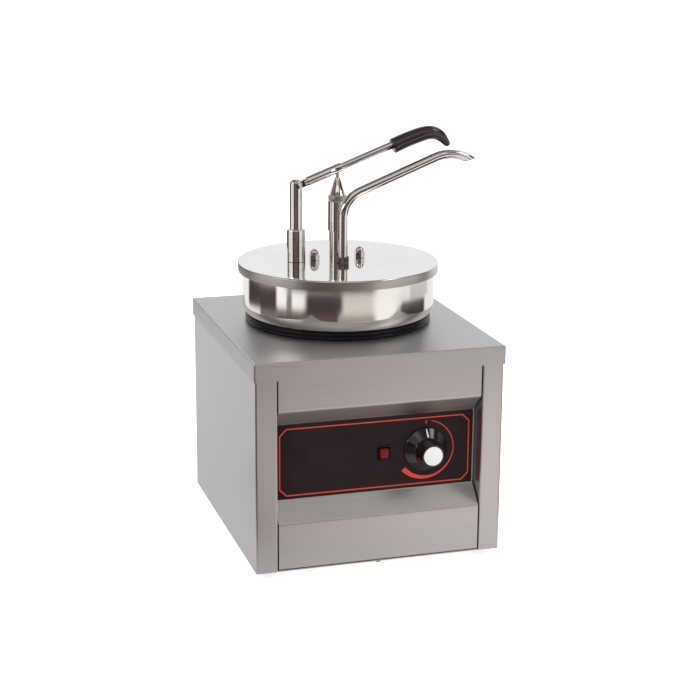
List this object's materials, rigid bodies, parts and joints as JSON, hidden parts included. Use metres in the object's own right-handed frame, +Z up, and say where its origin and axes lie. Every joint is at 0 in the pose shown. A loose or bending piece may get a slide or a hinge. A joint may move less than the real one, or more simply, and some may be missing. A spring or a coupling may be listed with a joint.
{
  "type": "hot fudge topping warmer",
  "caption": "Counter-top water-bath warmer with a lift-out pot, and a lid that carries a lever pump, its bent spout and a drooping grip; the front has a recessed control panel.",
  "frame": {"origin": "on the counter, under the middle of the warmer's box", "axes": "+Z up, +X to the right as seen from the control panel, -Y out of the control panel"},
  "size_m": [0.2799, 0.3072, 0.4335],
  "materials": {
    "brushed_steel": "brushed stainless sheet",
    "inner_steel": "plain stainless, as drawn or turned",
    "polished_steel": "mirror-polished stainless drum",
    "lid_steel": "polished stainless with a brushed skirt",
    "tube_steel": "polished stainless tube and bar",
    "dark_steel": "dark hard steel, knurled or ground",
    "black_rubber": "moulded black rubber",
    "plate_black": "matt black-brown plate with a red line",
    "knob_black": "glossy black moulding",
    "cap_white": "white disc",
    "lamp_red": "clear red lens",
    "grip_brown": "dark brown-black phenolic",
    "element_grey": "grey mica and ceramic",
    "nylon_grey": "dark grey nylon",
    "seal_white": "white food-grade plastic",
    "copper": "bare copper"
  },
  "bodies": {
    "cabinet": {"top_cover": "brushed_steel", "side_panel_left": "brushed_steel", "side_panel_right": "brushed_steel", "front_panel": "brushed_steel", "back_panel": "brushed_steel", "base_plate": "inner_steel", "foot_front_left": "black_rubber", "foot_front_right": "black_rubber", "foot_back_left": "black_rubber", "foot_back_right": "black_rubber", "panel_screw": "dark_steel", "water_well": "inner_steel", "heating_element": "element_grey", "element_clamp": "inner_steel", "clamp_nut": "inner_steel", "thermostat_body": "element_grey", "bush_nut": "inner_steel", "capillary_tube": "copper", "sensor_bulb": "copper", "bulb_clip": "inner_steel", "terminal_block": "nylon_grey", "cable_gland": "nylon_grey", "gland_nut": "nylon_grey", "control_plate": "plate_black", "lamp_bezel": "plate_black", "lamp_lens": "lamp_red", "seat_ring": "black_rubber"},
    "pot": {"pot": "polished_steel"},
    "lid": {"lid": "lid_steel", "pump_plate": "inner_steel", "cap_nut_left": "tube_steel", "cap_nut_right": "tube_steel", "post_sleeve": "tube_steel", "lever_post": "tube_steel", "post_nut": "inner_steel", "pivot_pin": "dark_steel", "plunger_guide": "tube_steel", "pump_cylinder": "inner_steel", "valve_body": "inner_steel", "inlet_ball": "tube_steel", "outlet_ball": "tube_steel", "riser_tube": "inner_steel", "spout_nut": "dark_steel", "spout_tube": "tube_steel"},
    "lever": {"lever_rod": "tube_steel", "lever_sleeve": "tube_steel", "handle_grip": "grip_brown", "grip_pin": "dark_steel"},
    "plunger": {"plunger_cap": "tube_steel", "plunger_rod": "inner_steel", "cross_pin": "dark_steel", "piston": "seal_white", "piston_seal": "black_rubber", "piston_nut": "inner_steel", "return_spring": "inner_steel"},
    "knob": {"knob": "knob_black", "knob_cap": "cap_white", "thermostat_shaft": "inner_steel"}
  },
  "joints": [
    {"name": "pot_lift", "type": "slide", "parent": "cabinet", "child": "pot", "axis": [0, 0, 1], "range_m": [0, 0.2]},
    {"name": "lid_lift", "type": "slide", "parent": "pot", "child": "lid", "axis": [0, 0, 1], "range_m": [0, 0.245]},
    {"name": "lever_swing", "type": "hinge", "parent": "lid", "child": "lever", "pos_m": [-0.0529, 0.0138, 0.37463], "axis": [0, 1, 0], "range_deg": [0, 34]},
    {"name": "plunger_slide", "type": "slide", "parent": "lid", "child": "plunger", "axis": [0, 0, -1], "range_m": [0, 0.028], "stiffness_N_per_m": 400, "springref_m": -0.02, "deforming": ["return_spring"]},
    {"name": "knob_turn", "type": "hinge", "parent": "cabinet", "child": "knob", "pos_m": [0.0466, -0.128, 0.1194], "axis": [0, 1, 0], "range_deg": [0, 230]}
  ],
  "couplings": [
    {"joint": "plunger_slide", "follows": "lever_swing", "m_per_rad": 0.047}
  ]
}
